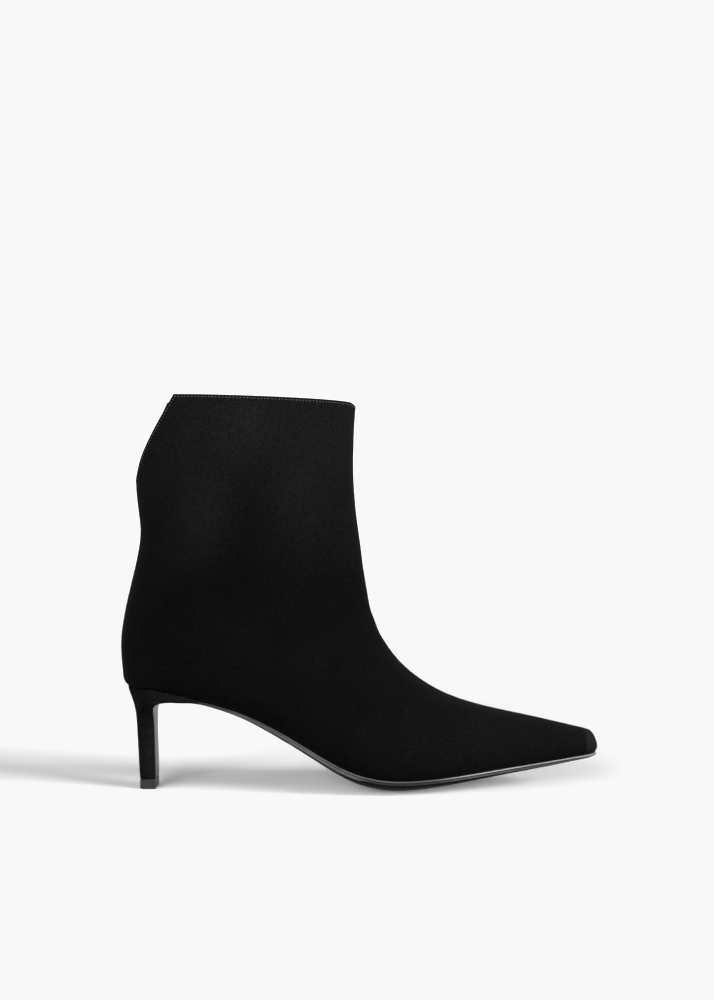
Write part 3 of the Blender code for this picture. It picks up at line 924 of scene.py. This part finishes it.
def make_outsole(look):
    """The sole with its ribbed edge."""
    sole = quad_copy("outsole", SOLE_EDGES)
    sole.normal_update()
    rear = min(vertex.co.x for vertex in sole.verts)
    cut_across(sole, rear + SOLE_END)
    sole.normal_update()
    for vertex in sole.verts:
        if vertex.co.x < rear + SOLE_END / 2:
            vertex.co += Vector((-SOLE_OVERLAP, 0.0, SOLE_LIFT))
        elif vertex.normal.z < 0:
            vertex.co.z -= SOLE_FLARE * fade(vertex.co.x - rear, SOLE_FLARE_REACH)
    sole = halved(sole)
    for vertex in sole.verts:
        if vertex.co.z < EDGE_RISE_BELOW:
            aside = min(1.0, abs(vertex.co.y) / EDGE_RISE_REACH) ** 2
            vertex.co.z += EDGE_RISE * (1 - vertex.co.z / EDGE_RISE_BELOW) * aside
    sole.normal_update()
    mark_depths(sole)
    mark_tread(sole)
    leathers = [sole_edge_finish(look), tread_finish(look)]
    add_piece("outsole_leather", sole, leathers, ["outsole"])


def make_heel(look, suede):
    """The covered heel and the strip on its front."""
    cover = widen_stem(halved(quad_copy("heel", HEEL_EDGES)))
    nap = suede_finish("heel_suede", suede, HEEL_NAP, HEEL_PAINTED_LIGHT)
    add_piece("heel_cover", cover, [nap], ["heel"])
    strip = widen_stem(halved(quad_copy("heel_breast", BREAST_EDGES)))
    add_piece("heel_breast_strip", strip, [breast_finish(look)], ["heel_breast"])


def make_heel_tip(look):
    """The moulded tip under the heel."""
    tip = widen_stem(halved(quad_copy("heel_tip", TIP_EDGES)))
    add_piece("heel_tip_moulded", tip, [tip_finish(look)], ["heel_tip"])


def make_ground(look):
    """The floor and the backdrop round it. Gives the floor."""
    plane = bmesh.new()
    bmesh.ops.create_circle(plane, cap_ends=True, segments=FLOOR_SIDES, radius=FLOOR_RADIUS)
    dome = bmesh.new()
    bmesh.ops.create_uvsphere(
        dome, u_segments=BACKDROP_SIDES, v_segments=BACKDROP_SIDES // 2, radius=BACKDROP_RADIUS)
    bmesh.ops.reverse_faces(dome, faces=dome.faces)
    floor = add_object("floor", plane, [floor_finish(look)])
    backdrop = add_object("backdrop", dome, [backdrop_finish()])
    for piece in (floor, backdrop):
        piece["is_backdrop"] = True
    floor.visible_diffuse = False
    backdrop.visible_diffuse = backdrop.visible_glossy = False
    backdrop.visible_transmission = backdrop.visible_shadow = False
    return floor


def make_fill(look):
    """Light from all round, more from above than from below."""
    world = bpy.data.worlds.new("studio_fill")
    world.use_nodes = True
    nodes, links = world.node_tree.nodes, world.node_tree.links
    direction = nodes.new("ShaderNodeSeparateXYZ")
    links.new(nodes.new("ShaderNodeTexCoord").outputs["Generated"], direction.inputs[0])
    level = nodes.new("ShaderNodeMapRange")
    for name, value in (
            ("From Min", -HORIZON), ("From Max", HORIZON),
            ("To Min", look.low_fill), ("To Max", look.fill)):
        level.inputs[name].default_value = value
    links.new(direction.outputs["Z"], level.inputs["Value"])
    nodes["Background"].inputs["Color"].default_value = (1.0, 1.0, 1.0, 1.0)
    links.new(level.outputs[0], nodes["Background"].inputs["Strength"])
    bpy.context.scene.world = world


def add_lamp(name, kind, place, energy, lit):
    """A lamp that points at the boot and lights only these objects."""
    lamp = bpy.data.objects.new(name, bpy.data.lights.new(name, kind))
    lamp.location = place
    lamp.rotation_euler = (place - LAMP_TARGET).to_track_quat("Z", "Y").to_euler()
    lamp.data.energy = energy
    bpy.context.scene.collection.objects.link(lamp)
    group = bpy.data.collections.new(name + "_lit")
    for item in lit:
        group.objects.link(item)
    lamp.light_linking.receiver_collection = group
    return lamp.data


def make_lamps(look, floor):
    """Low suns for the floor and its shadow, and soft lamps for the boot and the sole."""
    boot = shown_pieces()
    sole = [piece for piece in boot if piece.name == "outsole_leather"]
    lit = {"floor": [floor], "boot": boot, "sole": sole}
    for sun in SUNS:
        turn, height = math.radians(sun.turn), math.radians(sun.height)
        level = math.cos(height)
        towards = Vector((level * math.cos(turn), -level * math.sin(turn), math.sin(height)))
        share = look.key if sun.on == "floor" else look.boot
        lamp = add_lamp(sun.name, "SUN", LAMP_TARGET + towards, sun.strength * share, lit[sun.on])
        lamp.angle = math.radians(sun.softness)
    for box in SOFT_BOXES:
        lamp = add_lamp(box.name, "AREA", Vector(box.place), box.power * look.boot, lit[box.on])
        lamp.shape = "RECTANGLE"
        lamp.size, lamp.size_y = box.width, box.height


def hold_white(white):
    """Holds every tone above this one at it, as the pale ground of a studio picture."""
    view = bpy.context.scene.view_settings
    view.view_transform = "Standard"
    view.use_curve_mapping = True
    view.curve_mapping.extend = "HORIZONTAL"
    points = view.curve_mapping.curves[ALL_COLOURS].points
    points[-1].location = (1.0, white)
    points.new(white, white)
    for point in points:
        point.handle_type = "VECTOR"
    view.curve_mapping.update()


def make_camera(look):
    """The camera at the boot's side."""
    view = bpy.data.cameras.new("camera")
    view.sensor_fit = "VERTICAL"
    view.sensor_height = SENSOR_HEIGHT
    view.lens = LENS
    view.shift_y = LENS_SHIFT
    camera = bpy.data.objects.new("camera", view)
    camera.location = (CAMERA_X, -look.distance, CAMERA_HEIGHT)
    camera.rotation_euler = (math.radians(90), 0.0, 0.0)
    bpy.context.scene.collection.objects.link(camera)
    bpy.context.scene.camera = camera


class BOOT_OT_upper(bpy.types.Operator):
    """Makes the suede wall of the upper."""

    bl_idname = "boot.upper"
    bl_label = "Suede upper"

    def execute(self, context):
        make_upper(context.scene.boot_upper, context.scene.boot_suede)
        return {"FINISHED"}


class BOOT_OT_lining(bpy.types.Operator):
    """Makes the lining inside the upper and the sock on the sole."""

    bl_idname = "boot.lining"
    bl_label = "Lining and sock"

    def execute(self, context):
        make_lining(context.scene.boot_upper, context.scene.boot_leather)
        make_insole(context.scene.boot_leather)
        return {"FINISHED"}


class BOOT_OT_stitches(bpy.types.Operator):
    """Sews the row of stitches along the collar."""

    bl_idname = "boot.stitches"
    bl_label = "Collar stitches"

    def execute(self, context):
        make_stitches(context.scene.boot_upper, context.scene.boot_stitches)
        return {"FINISHED"}


class BOOT_OT_outsole(bpy.types.Operator):
    """Makes the sole with its ribbed edge."""

    bl_idname = "boot.outsole"
    bl_label = "Outsole"

    def execute(self, context):
        make_outsole(context.scene.boot_leather)
        return {"FINISHED"}


class BOOT_OT_heel(bpy.types.Operator):
    """Covers the heel and its front, and puts the tip under it."""

    bl_idname = "boot.heel"
    bl_label = "Heel"

    def execute(self, context):
        make_heel(context.scene.boot_leather, context.scene.boot_suede)
        make_heel_tip(context.scene.boot_leather)
        return {"FINISHED"}


class BOOT_OT_stage(bpy.types.Operator):
    """Adds the floor, the backdrop, the light and the camera."""

    bl_idname = "boot.stage"
    bl_label = "Stage"

    def execute(self, context):
        look = context.scene.boot_stage
        floor = make_ground(look)
        make_fill(look)
        make_lamps(look, floor)
        hold_white(look.white)
        make_camera(look)
        return {"FINISHED"}


class BOOT_PT_pieces(bpy.types.Panel):
    """Lists the pieces of the boot."""

    bl_idname = "BOOT_PT_pieces"
    bl_label = "Boot"
    bl_space_type = "VIEW_3D"
    bl_region_type = "UI"
    bl_category = "Boot"

    def draw(self, context):
        for operator in OPERATORS:
            self.layout.operator(operator.bl_idname)
        for name in SETTINGS:
            group = getattr(context.scene, name)
            box = self.layout.box()
            for value in group.bl_rna.properties:
                if value.identifier not in {"rna_type", "name"}:
                    box.prop(group, value.identifier)


OPERATORS = (
    BOOT_OT_upper, BOOT_OT_lining, BOOT_OT_stitches, BOOT_OT_outsole, BOOT_OT_heel, BOOT_OT_stage)
SETTINGS = {
    "boot_suede": SuedeLook, "boot_upper": UpperSizes, "boot_stitches": StitchSizes,
    "boot_leather": LeatherLook, "boot_stage": StageLook}
CLASSES = (*SETTINGS.values(), *OPERATORS, BOOT_PT_pieces)


def register():
    for kind in CLASSES:
        bpy.utils.register_class(kind)
    for name, kind in SETTINGS.items():
        setattr(bpy.types.Scene, name, PointerProperty(type=kind))


def unregister():
    for name in SETTINGS:
        delattr(bpy.types.Scene, name)
    for kind in reversed(CLASSES):
        bpy.utils.unregister_class(kind)


def main():
    register()
    bpy.ops.boot.upper()
    bpy.ops.boot.lining()
    bpy.ops.boot.stitches()
    bpy.ops.boot.outsole()
    bpy.ops.boot.heel()
    bpy.ops.boot.stage()


if __name__ == "__main__":
    main()
